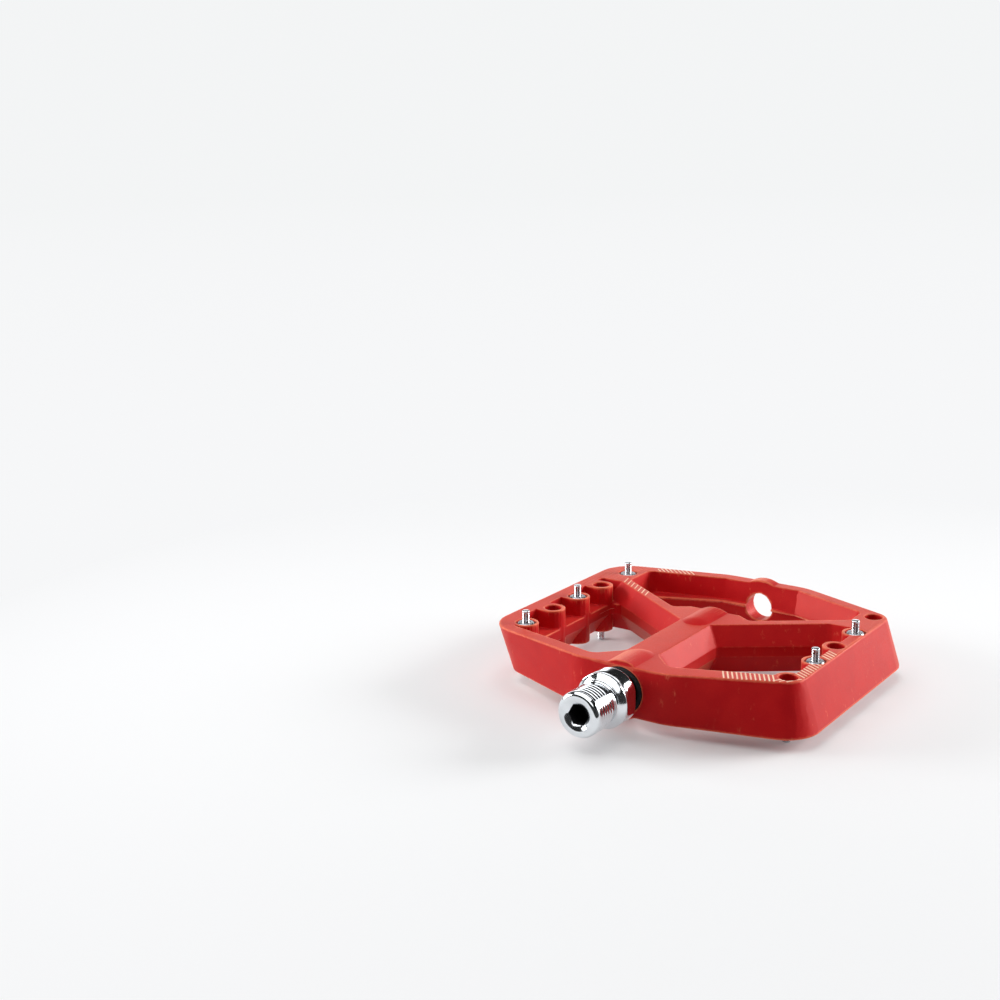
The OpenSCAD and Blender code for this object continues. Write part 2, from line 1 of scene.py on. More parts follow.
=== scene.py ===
import math
import bpy
import bmesh
import numpy as np
from mathutils import Matrix, Vector
from mathutils.bvhtree import BVHTree
from mathutils.kdtree import KDTree


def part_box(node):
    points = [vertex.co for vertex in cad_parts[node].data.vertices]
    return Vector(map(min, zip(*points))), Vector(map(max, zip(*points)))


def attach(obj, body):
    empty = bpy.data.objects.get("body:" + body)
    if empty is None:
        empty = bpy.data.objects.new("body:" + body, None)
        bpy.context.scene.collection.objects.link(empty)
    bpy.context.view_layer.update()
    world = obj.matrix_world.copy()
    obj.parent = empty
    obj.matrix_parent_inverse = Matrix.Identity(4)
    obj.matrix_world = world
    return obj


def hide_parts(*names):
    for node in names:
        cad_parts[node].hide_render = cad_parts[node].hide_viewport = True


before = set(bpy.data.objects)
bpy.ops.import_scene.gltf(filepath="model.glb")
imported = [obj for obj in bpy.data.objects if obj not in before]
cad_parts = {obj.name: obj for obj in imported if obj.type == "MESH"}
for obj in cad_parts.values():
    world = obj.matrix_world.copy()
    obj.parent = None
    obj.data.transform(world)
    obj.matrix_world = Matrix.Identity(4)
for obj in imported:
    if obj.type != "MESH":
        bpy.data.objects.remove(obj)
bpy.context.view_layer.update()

# Spindle. One turned bar of hardened steel, polished bright and plated: crank thread with a relief neck,
# bevelled flange, round collar with two spanner flats, and a plain journal that runs on inside the barrel.
# The crank end has a hexagon socket with a shallow countersink.
MM = 0.001
COLUMNS = 240
around = np.arange(COLUMNS) * 2 * math.pi / COLUMNS


def smooth_step(value, low, high):
    """0 up to low, 1 from high on, and an even curve between them."""
    t = np.clip((value - low) / (high - low), 0, 1)
    return t * t * (3 - 2 * t)


def hexagon(half_width, angles=around):
    """Radius of a hexagon at each angle round its axis."""
    sixth = math.pi / 3
    return half_width / np.cos(angles % sixth - sixth / 2)


def quarter_round(start, finish, bulge_first, steps=6):
    """Profile points (along, radius) on a quarter ellipse that leaves start along or across the axis."""
    points = []
    for turn in np.linspace(0, math.pi / 2, steps):
        fast, slow = math.sin(turn), 1 - math.cos(turn)
        a, r = (fast, slow) if bulge_first == "along" else (slow, fast)
        points.append((start[0] + (finish[0] - start[0]) * a, start[1] + (finish[1] - start[1]) * r))
    return points


def turned_mesh(rows, axis="Y", centre=(0, 0), closed=False, angles=around):
    """Vertices and faces of a turned shape from (along, radius) rows, each plain or varied round the axis."""
    n = len(angles)
    rings = []
    for along, radius in rows:
        along = np.broadcast_to(np.asarray(along, float), (n,))
        radius = np.broadcast_to(np.asarray(radius, float), (n,))
        across, up = radius * np.cos(angles), radius * np.sin(angles)
        if axis == "Y":
            rings.append(np.stack([across + centre[0], along, up + centre[1]], 1))
        else:
            rings.append(np.stack([across + centre[0], up + centre[1], along], 1))
    vertices = np.concatenate(rings)
    faces = []
    last = len(rings) if closed else len(rings) - 1
    for j in range(last):
        k = (j + 1) % len(rings)
        for i in range(n):
            i2 = (i + 1) % n
            faces.append((j * n + i, k * n + i, k * n + i2, j * n + i2))
    if not closed:
        faces += [tuple(range(n)), tuple(range((len(rings) - 1) * n, len(rings) * n))]
    return vertices, faces


def make_piece(name, vertices, faces, crease=32):
    """A mesh object made from millimetres, smooth apart from edges that turn by more than the crease."""
    mesh = bpy.data.meshes.new(name)
    mesh.from_pydata((np.asarray(vertices) * MM).tolist(), [], faces)
    work = bmesh.new()
    work.from_mesh(mesh)
    bmesh.ops.remove_doubles(work, verts=work.verts, dist=1e-7)
    bmesh.ops.recalc_face_normals(work, faces=work.faces)
    work.to_mesh(mesh)
    work.free()
    mesh.polygons.foreach_set("use_smooth", [True] * len(mesh.polygons))
    mesh.set_sharp_from_angle(angle=math.radians(crease))
    piece = bpy.data.objects.new(name, mesh)
    bpy.context.scene.collection.objects.link(piece)
    return piece


THREAD_R, THREAD_DEPTH, THREAD_PITCH, GROOVE_SHARE = 7.12, 0.22, 1.27, 0.16
THREAD_END, THREAD_START, RUN_OUT = -12.5, -3.9, 0.35
LEAD_IN_START, LEAD_IN_END, THREAD_ROWS = -11.5, -10.7, 210
NECK_R, FLANGE_R, FLANGE_END, GROOVE_R = 6.4, 8.65, 2.2, 7.2
FLAT_HALF, COLLAR_R, COLLAR_END, JOURNAL_R = 7.5, FLANGE_R - 0.03, 8.2, 6.0
DISH_R, DISH_DEPTH, SOCKET_HALF, SOCKET_DEPTH, SOCKET_REACH = 4.75, 0.9, 3.0, 8.0, 3.5
TAIL_R, TAIL_THREAD_R, TAIL_END = 4.0, 3.5, 69.2
AXIS_R = 0.01


def thread_row(y):
    """Radius round one ring of the right-hand crank thread, with broad crests and a run-out at both ends."""
    phase = (y / THREAD_PITCH + around / (2 * math.pi)) % 1
    cut = np.clip(1.1 - np.abs(phase - 0.5) / GROOVE_SHARE, 0, 1)
    depth = THREAD_DEPTH * smooth_step(y, LEAD_IN_START, LEAD_IN_END)
    crest = THREAD_R - depth * cut
    run_out = smooth_step(y, THREAD_START - RUN_OUT, THREAD_START + RUN_OUT)
    return crest + (np.minimum(crest, NECK_R) - crest) * run_out


socket_r = hexagon(SOCKET_HALF)
flats_r = np.minimum(FLAT_HALF / np.maximum(np.abs(np.cos(around)), 0.1), COLLAR_R)
bottom = THREAD_END + SOCKET_DEPTH
mouth = THREAD_END + DISH_DEPTH * (DISH_R - socket_r) / (DISH_R - SOCKET_HALF)
spindle_rows = [
    (bottom + 1.4, AXIS_R), (bottom + 0.1, socket_r * 0.96), (bottom, socket_r * 0.985),
    (bottom - 0.2, socket_r), (mouth + 0.08, socket_r), (mouth - 0.05, socket_r + 0.1),
    (THREAD_END + 0.10, DISH_R - 0.2), (THREAD_END + 0.03, DISH_R - 0.04), (THREAD_END, DISH_R + 0.12),
    (THREAD_END, 5.55)]
spindle_rows += quarter_round((THREAD_END, 5.7), (-10.95, THREAD_R), "across", 9)
spindle_rows += [(y, thread_row(y)) for y in np.linspace(-10.9, THREAD_START + RUN_OUT, THREAD_ROWS)]
spindle_rows += [(-3.0, NECK_R), (-1.35, NECK_R)] + quarter_round((-1.2, NECK_R), (-0.25, 7.0), "along", 6)
spindle_rows += [(-0.05, 7.1), (0.0, 7.2), (0.08, 7.32), (0.9, 8.22), (1.15, 8.44)]
spindle_rows += quarter_round((1.2, 8.48), (1.5, FLANGE_R), "across", 5)
spindle_rows += [
    (1.7, FLANGE_R), (FLANGE_END - 0.08, FLANGE_R), (FLANGE_END, FLANGE_R - 0.05),
    (FLANGE_END + 0.04, FLANGE_R - 0.2), (FLANGE_END + 0.06, GROOVE_R + 0.1), (FLANGE_END + 0.1, GROOVE_R),
    (FLANGE_END + 0.2, GROOVE_R), (FLANGE_END + 0.24, GROOVE_R + 0.05),
    (FLANGE_END + 0.26, flats_r - 0.2), (FLANGE_END + 0.32, flats_r - 0.06), (FLANGE_END + 0.42, flats_r)]
for y in np.linspace(4.0, COLLAR_END - 0.04, 16):
    spindle_rows.append((y, np.minimum(flats_r, FLANGE_R + 0.62 - (y - 7.0) * 1.15)))
spindle_rows += [
    (COLLAR_END, np.minimum(flats_r, 7.86) - 0.12), (COLLAR_END, JOURNAL_R + 0.5),
    (COLLAR_END + 0.12, JOURNAL_R + 0.15), (COLLAR_END + 0.4, JOURNAL_R), (18.0, JOURNAL_R),
    (28.4, JOURNAL_R), (54.8, 4.95), (54.82, TAIL_R), (62.8, TAIL_R), (62.82, TAIL_THREAD_R),
    (68.8, TAIL_THREAD_R), (TAIL_END, 3.1), (TAIL_END, AXIS_R)]
spindle = make_piece("spindle_axle", *turned_mesh(spindle_rows), 44)


def new_material(name, colour, roughness, metallic=0.0):
    """A new material with its node tree, shader and object coordinates; plain values sit on the shader."""
    material = bpy.data.materials.new(name)
    material.use_nodes = True
    tree = material.node_tree
    shader = tree.nodes["Principled BSDF"]
    shader.inputs["Base Color"].default_value = (*colour, 1)
    shader.inputs["Roughness"].default_value = roughness
    shader.inputs["Metallic"].default_value = metallic
    place = tree.nodes.new("ShaderNodeTexCoord")
    return tree, shader, place.outputs["Object"], material


def node(tree, kind, inputs=None, **settings):
    """Adds a node, sets its properties, and fills its inputs with plain values or links."""
    made = tree.nodes.new(kind)
    for key, value in settings.items():
        setattr(made, key, value)
    for key, value in (inputs or {}).items():
        if isinstance(value, bpy.types.NodeSocket):
            tree.links.new(value, made.inputs[key])
        else:
            made.inputs[key].default_value = value
    return made


def shade_range(tree, value, low, high, start=0.0, end=1.0):
    """Maps a mask from start..end to low..high."""
    ends = {"From Min": start, "From Max": end, "To Min": low, "To Max": high}
    return node(tree, "ShaderNodeMapRange", {"Value": value, **ends}).outputs["Result"]


def combine(tree, operation, first, second):
    """Two masks or values joined by one operation, such as ADD or MULTIPLY."""
    return node(tree, "ShaderNodeMath", {0: first, 1: second}, operation=operation).outputs["Value"]


def two_tone(tree, mask, first, second):
    """Mixes two colours by a mask; either may be plain or come from another node."""
    made = node(tree, "ShaderNodeMix", {"Factor": mask}, data_type="RGBA")
    for socket, colour in zip([s for s in made.inputs if s.type == "RGBA"], (first, second)):
        if isinstance(colour, bpy.types.NodeSocket):
            tree.links.new(colour, socket)
        else:
            socket.default_value = (*colour, 1)
    return next(o for o in made.outputs if o.type == "RGBA")


def bump(tree, shader, height, strength, depth_mm):
    """Fine relief from a mask, by the shading alone."""
    made = node(tree, "ShaderNodeBump", {"Height": height, "Strength": strength, "Distance": depth_mm * MM})
    tree.links.new(made.outputs["Normal"], shader.inputs["Normal"])


def new_group(name, inputs, outputs):
    """An empty shader node group with named sockets."""
    group = bpy.data.node_groups.new(name, "ShaderNodeTree")
    for label, kind in inputs:
        group.interface.new_socket(label, in_out="INPUT", socket_type=kind)
    for label in outputs:
        group.interface.new_socket(label, in_out="OUTPUT", socket_type="NodeSocketFloat")
    return group, group.nodes.new("NodeGroupInput"), group.nodes.new("NodeGroupOutput")


def use_group(tree, group, **inputs):
    """Puts a shader node group to use and hands back its outputs."""
    return node(tree, "ShaderNodeGroup", inputs, node_tree=group).outputs


# Marks of the lathe and of handling on bright metal: fine lines across the axis, hairline scratches and
# faint smears. Lines are finest along the stretched direction.
tool_marks, marks_in, marks_out = new_group(
    "tool_marks", [("Place", "NodeSocketVector"), ("Stretch", "NodeSocketVector")],
    ["Lines", "Scratches", "Smears"])
stretched = node(tool_marks, "ShaderNodeVectorMath", {
    0: marks_in.outputs["Place"], 1: marks_in.outputs["Stretch"]}, operation="MULTIPLY")
lines = node(tool_marks, "ShaderNodeTexNoise", {
    "Vector": stretched.outputs["Vector"], "Scale": 1.0, "Detail": 3.0})
tool_marks.links.new(lines.outputs["Fac"], marks_out.inputs["Lines"])
hairs = node(tool_marks, "ShaderNodeTexWave", {
    "Vector": marks_in.outputs["Place"], "Scale": 900.0, "Distortion": 22.0, "Detail": 3.0,
    "Detail Scale": 0.6}, wave_profile="SAW")
hair_mask = shade_range(tool_marks, hairs.outputs["Fac"], 0, 1, 0.93, 1.0)
tool_marks.links.new(hair_mask, marks_out.inputs["Scratches"])
smears = node(tool_marks, "ShaderNodeTexNoise", {
    "Vector": marks_in.outputs["Place"], "Scale": 260.0, "Detail": 4.0, "Distortion": 0.6})
tool_marks.links.new(smears.outputs["Fac"], marks_out.inputs["Smears"])


def bright_metal(name, colour, dull_colour, roughness, spread, stretch, line_strength):
    """Polished or satin metal with lathe lines, hairline scratches and smears."""
    tree, shader, place, material = new_material(name, colour, roughness, 1.0)
    marks = use_group(tree, tool_marks, Place=place, Stretch=stretch)
    smeared = shade_range(tree, marks["Smears"], 0, 1, 0.35, 0.7)
    tree.links.new(two_tone(tree, smeared, colour, dull_colour), shader.inputs["Base Color"])
    dulled = shade_range(tree, marks["Smears"], roughness, roughness + spread, 0.35, 0.7)
    scratched = shade_range(tree, marks["Scratches"], 0, 0.1)
    tree.links.new(combine(tree, "ADD", dulled, scratched), shader.inputs["Roughness"])
    bump(tree, shader, marks["Lines"], line_strength, 0.02)
    return material


plated_steel = bright_metal(
    "plated_steel", (0.79, 0.82, 0.85), (0.72, 0.75, 0.78), 0.09, 0.05, (60, 9000, 60), 0.02)
# Near-black steel for the hexagon socket. This is partly the oily, unplated walls of the broached hole and
# partly painted shade deep inside it.
socket_oil_and_shade = bright_metal(
    "socket_oil_and_shade", (0.05, 0.05, 0.055), (0.03, 0.03, 0.03), 0.38, 0.2, (900, 60, 900), 0.3)
spindle.data.materials.append(plated_steel)
spindle.data.materials.append(socket_oil_and_shade)
# Faces inside the socket take the near-black steel, which paints the shade of the hole.
for face in spindle.data.polygons:
    along, off_axis = face.center.y / MM, math.hypot(face.center.x, face.center.z) / MM
    if THREAD_END + DISH_DEPTH < along < bottom + 2 and off_axis < SOCKET_REACH:
        face.material_index = 1
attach(spindle, "spindle")
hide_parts("spindle")

# Sleeve and ball bearings inside the barrel. A bronze bushing near the crank, then two small ball bearings
# of ground bearing steel, each with brass cage and rubber shields. All are pressed in and stay out of sight.
bushing_bronze = bright_metal(
    "bushing_bronze", (0.56, 0.37, 0.16), (0.42, 0.26, 0.10), 0.28, 0.14, (900, 900, 900), 0.2)
ground_steel = bright_metal(
    "ground_steel", (0.62, 0.63, 0.65), (0.54, 0.55, 0.57), 0.16, 0.10, (60, 6000, 60), 0.15)
ball_steel = bright_metal(
    "ball_steel", (0.78, 0.79, 0.80), (0.70, 0.71, 0.72), 0.05, 0.05, (500, 500, 500), 0.04)
cage_brass = bright_metal(
    "cage_brass", (0.70, 0.50, 0.20), (0.58, 0.40, 0.15), 0.22, 0.12, (60, 5000, 60), 0.2)

# Fine texture of moulded rubber and nylon: a close grain from the mould and a slow cloudiness of the colour.
moulded_grain, grain_in, grain_out = new_group(
    "moulded_grain", [("Place", "NodeSocketVector"), ("Grains", "NodeSocketFloat")], ["Fine", "Cloud"])
fine = node(moulded_grain, "ShaderNodeTexNoise", {
    "Vector": grain_in.outputs["Place"], "Scale": grain_in.outputs["Grains"], "Detail": 3.0,
    "Roughness": 0.6})
cloud = node(moulded_grain, "ShaderNodeTexNoise", {
    "Vector": grain_in.outputs["Place"], "Scale": 140.0, "Detail": 4.0, "Distortion": 0.4})
moulded_grain.links.new(fine.outputs["Fac"], grain_out.inputs["Fine"])
moulded_grain.links.new(cloud.outputs["Fac"], grain_out.inputs["Cloud"])
RUBBER_GRAINS, NYLON_GRAINS = 3500.0, 2300.0


def moulded(name, colour, other_colour, cloudy, roughness, rough_ends, grains, relief):
    """Moulded or printed matter: two tones by the cloudiness, roughness and relief by the close grain."""
    tree, shader, place, material = new_material(name, colour, roughness)
    grain = use_group(tree, moulded_grain, Place=place, Grains=grains)
    clouds = shade_range(tree, grain["Cloud"], 0, 1, *cloudy)
    tree.links.new(two_tone(tree, clouds, colour, other_colour), shader.inputs["Base Color"])
    tree.links.new(shade_range(tree, grain["Fine"], *rough_ends, 0.3, 0.7), shader.inputs["Roughness"])
    bump(tree, shader, grain["Fine"], relief, 0.03)
    return material


def rubber(name, colour, pale_colour):
    """Dull black or dark rubber."""
    material = moulded(name, colour, pale_colour, (0.3, 0.75), 0.55, (0.55, 0.8), RUBBER_GRAINS, 0.25)
    material.node_tree.nodes["Principled BSDF"].inputs["Specular IOR Level"].default_value = 0.2
    return material


seal_rubber = rubber("seal_rubber", (0.006, 0.006, 0.007), (0.016, 0.016, 0.017))
shield_rubber = rubber("shield_rubber", (0.02, 0.012, 0.012), (0.045, 0.03, 0.03))


def refinish(name, material):
    """Gives a node that keeps its own shape its finish."""
    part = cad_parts[name]
    part.data.materials.clear()
    part.data.materials.append(material)


refinish("inboard_bushing", bushing_bronze)
for bearing in ("inner_bearing", "outer_bearing"):
    refinish(bearing + "_inner_race", ground_steel)
    refinish(bearing + "_outer_race", ground_steel)
    refinish(bearing + "_balls", ball_steel)
    refinish(bearing + "_cage", cage_brass)
    refinish(bearing + "_shields", shield_rubber)

# Washer and lock nut on the spindle's tail. Plain turned steel; the nut is screwed tight and holds the washer
# against the outer bearing.
tail_steel = bright_metal(
    "tail_steel", (0.50, 0.51, 0.53), (0.40, 0.41, 0.43), 0.26, 0.16, (800, 800, 800), 0.2)
refinish("lock_washer", tail_steel)
refinish("lock_nut", tail_steel)

# Platform body. Injection-moulded nylon, red right through, with a fine grained surface, softly rounded edges
# and a line of flash where the two halves of the mould met.
VOXEL = 0.27
SOFTENING = 4
MOST_TRIANGLES = 185000
RELAXING, RIDGE_SPREAD = 6, 2
EVENING, ALIKE = 60, 0.004

blank = bpy.data.objects.new("body_blank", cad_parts["pedal_body"].data.copy())
bpy.context.scene.collection.objects.link(blank)
remesh = blank.modifiers.new("skin", "REMESH")
remesh.mode = "VOXEL"
remesh.voxel_size = VOXEL * MM
soften = blank.modifiers.new("soften", "SMOOTH")
soften.factor = 0.5
soften.iterations = SOFTENING


def settled_mesh(piece):
    """The piece's mesh with its modifiers applied."""
    bpy.context.view_layer.update()
    return bpy.data.meshes.new_from_object(piece.evaluated_get(bpy.context.evaluated_depsgraph_get()))


dense = settled_mesh(blank)
count = len(dense.vertices)
points = np.empty(count * 3)
dense.vertices.foreach_get("co", points)
points = points.reshape(-1, 3)
normals = np.empty(count * 3)
dense.vertex_normals.foreach_get("vector", normals)
normals = normals.reshape(-1, 3)
edges = np.empty(len(dense.edges) * 2, np.int64)
dense.edges.foreach_get("vertices", edges)
edges = edges.reshape(-1, 2)
degree = np.bincount(edges.ravel(), minlength=count)[:, None]


def neighbour_mean(values):
    """The mean of each vertex's neighbours."""
    total = np.zeros_like(values)
    for axis in range(values.shape[1]):
        total[:, axis] = (np.bincount(edges[:, 0], values[edges[:, 1], axis], count)
                          + np.bincount(edges[:, 1], values[edges[:, 0], axis], count))
    return total / degree


relaxed = points
for _ in range(RELAXING):
    relaxed = neighbour_mean(relaxed)
ridge = ((points - relaxed) * normals).sum(1)[:, None] / MM
for _ in range(RIDGE_SPREAD):
    ridge = neighbour_mean(ridge)
tree_of_points = KDTree(count)
for i, p in enumerate(points):
    tree_of_points.insert(p, i)
tree_of_points.balance()

blank.modifiers.clear()
blank.data = dense
thin = blank.modifiers.new("thin", "DECIMATE")
dense.calc_loop_triangles()
thin.ratio = min(1.0, MOST_TRIANGLES / len(dense.loop_triangles))
body_mesh = settled_mesh(blank)
bpy.data.objects.remove(blank)
body_mesh.name = "platform_body"
body = bpy.data.objects.new("platform_body", body_mesh)
bpy.context.scene.collection.objects.link(body)
body_mesh.materials.clear()
body_mesh.polygons.foreach_set("use_smooth", [True] * len(body_mesh.polygons))

# The flat walls came out of the mould without facets: each normal settles towards its neighbours', but not
# across an edge.
joined = np.empty(len(body_mesh.edges) * 2, np.int64)
body_mesh.edges.foreach_get("vertices", joined)
one, other = joined.reshape(-1, 2).T
even = np.empty(len(body_mesh.vertices) * 3)
body_mesh.vertex_normals.foreach_get("vector", even)
even = even.reshape(-1, 3)
for _ in range(EVENING):
    alike = np.exp(((even[one] * even[other]).sum(1) - 1) / ALIKE)
    settled = even * 0.5
    for axis in range(3):
        settled[:, axis] += (np.bincount(one, alike * even[other, axis], len(even))
                             + np.bincount(other, alike * even[one, axis], len(even)))
    even = settled / np.linalg.norm(settled, axis=1)[:, None]
body_mesh.normals_split_custom_set_from_vertices(even.tolist())

# How far each point stands out from its neighbours. It lightens the edges, partly as wear and partly as
# painted highlight.
edge_layer = body_mesh.attributes.new("edge", "FLOAT", "POINT")
edge_layer.data.foreach_set("value", [float(ridge[tree_of_points.find(v.co)[1], 0]) for v in body_mesh.vertices])

# Lighter edges of the moulding, broken up by the grain: partly rubbed wear, partly a painted highlight along
# the rims.
edge_wear_and_glint, edge_in, edge_out = new_group(
    "edge_wear_and_glint", [("Edge", "NodeSocketFloat"), ("Place", "NodeSocketVector")], ["Mask"])
broken = node(edge_wear_and_glint, "ShaderNodeTexNoise", {
    "Vector": edge_in.outputs["Place"], "Scale": 700.0, "Detail": 3.0})
unevenness = shade_range(edge_wear_and_glint, broken.outputs["Fac"], 0.85, 1.15, 0.3, 0.7)
worn_and_glinting = combine(edge_wear_and_glint, "MULTIPLY", edge_in.outputs["Edge"], unevenness)
edge_wear_and_glint.links.new(shade_range(edge_wear_and_glint, worn_and_glinting, 0, 1, 0.035, 0.11), edge_out.inputs["Mask"])

# Pale scuffs on the upright walls, from handling and from lying on the bench.
scuffs, scuff_in, scuff_out = new_group(
    "scuffs", [("Place", "NodeSocketVector"), ("Upright", "NodeSocketVector")], ["Mask"])
drawn_out = node(scuffs, "ShaderNodeVectorMath", {
    0: scuff_in.outputs["Place"], 1: (1.0, 1.0, 0.45)}, operation="MULTIPLY")
patches = node(scuffs, "ShaderNodeTexNoise", {
    "Vector": drawn_out.outputs["Vector"], "Scale": 60.0, "Detail": 2.0})
flecks = node(scuffs, "ShaderNodeTexNoise", {
    "Vector": drawn_out.outputs["Vector"], "Scale": 520.0, "Detail": 5.0, "Roughness": 0.65})
rise = node(scuffs, "ShaderNodeSeparateXYZ", {"Vector": scuff_in.outputs["Upright"]})
steep = node(scuffs, "ShaderNodeMath", {0: rise.outputs["Z"]}, operation="ABSOLUTE")
on_wall = shade_range(scuffs, steep.outputs["Value"], 1, 0, 0.55, 0.8)
in_fleck = shade_range(scuffs, flecks.outputs["Fac"], 0, 1, 0.6, 0.74)
in_patch = shade_range(scuffs, patches.outputs["Fac"], 0, 1, 0.45, 0.65)
rubs = combine(scuffs, "MULTIPLY", in_fleck, in_patch)
scuffs.links.new(combine(scuffs, "MULTIPLY", rubs, on_wall), scuff_out.inputs["Mask"])

NYLON_DEEP, NYLON_RED, NYLON_EDGE = (0.45, 0.004, 0.009), (0.54, 0.010, 0.012), (0.92, 0.27, 0.14)
tree, shader, place, nylon = new_material("moulded_nylon", NYLON_RED, 0.46)
grain = use_group(tree, moulded_grain, Place=place, Grains=NYLON_GRAINS)
edge_value = node(tree, "ShaderNodeAttribute", attribute_name="edge")
wear_and_glint = use_group(tree, edge_wear_and_glint, Edge=edge_value.outputs["Fac"], Place=place)
turned_to = node(tree, "ShaderNodeTexCoord")
scuffed = use_group(tree, scuffs, Place=place, Upright=turned_to.outputs["Normal"])
fine_tone = shade_range(tree, grain["Fine"], -0.25, 0.25, 0.3, 0.7)
slow_tone = shade_range(tree, grain["Cloud"], 0.2, 0.8, 0.3, 0.7)
base = two_tone(tree, combine(tree, "ADD", fine_tone, slow_tone), NYLON_DEEP, NYLON_RED)
# The pale edge colour is partly wear and partly painted highlight. The scuffs are wear.
edge_share = shade_range(tree, wear_and_glint["Mask"], 0, 0.55)
scuff_share = shade_range(tree, scuffed["Mask"], 0, 0.42)
pale_share = combine(tree, "ADD", edge_share, scuff_share)
tree.links.new(two_tone(tree, pale_share, base, NYLON_EDGE), shader.inputs["Base Color"])
shader.inputs["Specular IOR Level"].default_value = 0.42
shader.inputs["Specular Tint"].default_value = (1.0, 0.22, 0.16, 1)
shader.inputs["Sheen Weight"].default_value = 0.5
shader.inputs["Sheen Roughness"].default_value = 0.3
shader.inputs["Sheen Tint"].default_value = (1.0, 0.5, 0.26, 1)
tree.links.new(shade_range(tree, grain["Fine"], 0.36, 0.52, 0.3, 0.7), shader.inputs["Roughness"])
bump(tree, shader, grain["Fine"], 0.22, 0.05)
body_mesh.materials.append(nylon)
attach(body, "platform")
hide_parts("pedal_body")

# Mould flash. A fine raised line of the same nylon, left round the windows where the two halves of the mould
# closed on each other. Its paler, more orange colour is a painted highlight along the thin ridge.
FLASH_PROUD, FLASH_ROOT, FLASH_HALF, FLASH_STEP = 0.12, 0.25, 0.10, 0.5
FLASH_FADE, SHORTEST_LOOP, SHORTEST_FLASH, VOTE_STEP = 3, 30, 12, 7
SIDE_LINE, OUTER_LINE = 1.62, 0.0
SIDE_NEAR, SIDE_FAR, SIDE_MIDDLE = 9, 47, (27, 48)
OUTER_START, OUTER_MIDDLE = 70, (0, 92)
TOOL_HOLE_HALF, TOOL_HOLE_START, MOUTH_HALF, MOUTH_END = 7.2, 98, 9.5, 82


def section_loops(mesh, height):
    """Closed lines where a level plane meets a mesh, in millimetres, evenly spaced and smoothed."""
    work = bmesh.new()
    work.from_mesh(mesh)
    everything = work.verts[:] + work.edges[:] + work.faces[:]
    cut = bmesh.ops.bisect_plane(work, geom=everything, plane_co=(0, 0, height * MM), plane_no=(0, 0, 1))
    links = {}
    for edge in (g for g in cut["geom_cut"] if isinstance(g, bmesh.types.BMEdge)):
        a, b = edge.verts
        links.setdefault(a, []).append(b)
        links.setdefault(b, []).append(a)
    loops, left_over = [], dict.fromkeys(links)
    while left_over:
        start = next(iter(left_over))
        del left_over[start]
        loop, here = [start], next((v for v in links[start] if v in left_over), None)
        while here is not None:
            del left_over[here]
            loop.append(here)
            here = next((v for v in links[here] if v in left_over), None)
        if len(loop) > SHORTEST_LOOP:
            loops.append(np.array([v.co[:2] for v in loop]) / MM)
    work.free()
    even = []
    for loop in loops:
        closed = np.vstack([loop, loop[:1]])
        run = np.concatenate([[0], np.cumsum(np.hypot(*np.diff(closed, axis=0).T))])
        marks = np.linspace(0, run[-1], int(run[-1] / FLASH_STEP), endpoint=False)
        line = np.stack([np.interp(marks, run, closed[:, k]) for k in (0, 1)], 1)
        for _ in range(2):
            line = (np.roll(line, 1, 0) + 2 * line + np.roll(line, -1, 0)) / 4
        even.append(line)
    return even


skin_points = [v.co / MM for v in body_mesh.vertices]
skin = BVHTree.FromPolygons(skin_points, [tuple(p.vertices) for p in body_mesh.polygons])


def skin_side(line, inward, height):
    """Whether the given side of a line on the skin is open (1) or in the nylon (-1)."""
    votes = 0
    for p, d in list(zip(line, inward))[::VOTE_STEP]:
        _, normal, _, _ = skin.find_nearest(Vector((*p, height)))
        votes += 1 if normal.x * d[0] + normal.y * d[1] > 0 else -1
    return 1 if votes > 0 else -1


def in_side_window(p, opening):
    """A side window's wall: its open side looks towards the middle of the window."""
    middle = np.array([math.copysign(SIDE_MIDDLE[0], p[0]), SIDE_MIDDLE[1]])
    return SIDE_NEAR < abs(p[0]) < SIDE_FAR and opening @ (middle - p) > 0


def in_outboard_window(p, opening):
    """The outboard window's wall, without the mouths of the tool hole and of the barrel."""
    at_tool_hole = abs(p[0]) < TOOL_HOLE_HALF and p[1] > TOOL_HOLE_START
    at_barrel = abs(p[0]) < MOUTH_HALF and p[1] < MOUTH_END
    facing = opening @ (np.array(OUTER_MIDDLE) - p) > 0
    return p[1] > OUTER_START and not at_tool_hole and not at_barrel and facing


flash_vertices, flash_faces = [], []


def add_flash(line, inward, height, closed):
    """A three-sided ridge along a line, its tip pointing into the window and fading at open ends."""
    first, n = len(flash_vertices), len(line)
    for j, (p, d) in enumerate(zip(line, inward)):
        proud = FLASH_PROUD * (0.75 + 0.35 * math.sin(0.9 * j) * math.sin(0.37 * j + 1.3))
        if not closed:
            proud *= min(1, (j + 0.2) / FLASH_FADE, (n - 0.8 - j) / FLASH_FADE)
        tip, root = p + d * proud, p - d * FLASH_ROOT
        flash_vertices.extend([(*tip, height), (*root, height + FLASH_HALF), (*root, height - FLASH_HALF)])
    for j in range(n if closed else n - 1):
        for i in range(3):
            k, j2 = (i + 1) % 3, (j + 1) % n
            flash_faces.append(tuple(first + m for m in (j * 3 + i, j2 * 3 + i, j2 * 3 + k, j * 3 + k)))
    if not closed:
        flash_faces.append((first, first + 1, first + 2))
        flash_faces.append((first + n * 3 - 3, first + n * 3 - 2, first + n * 3 - 1))


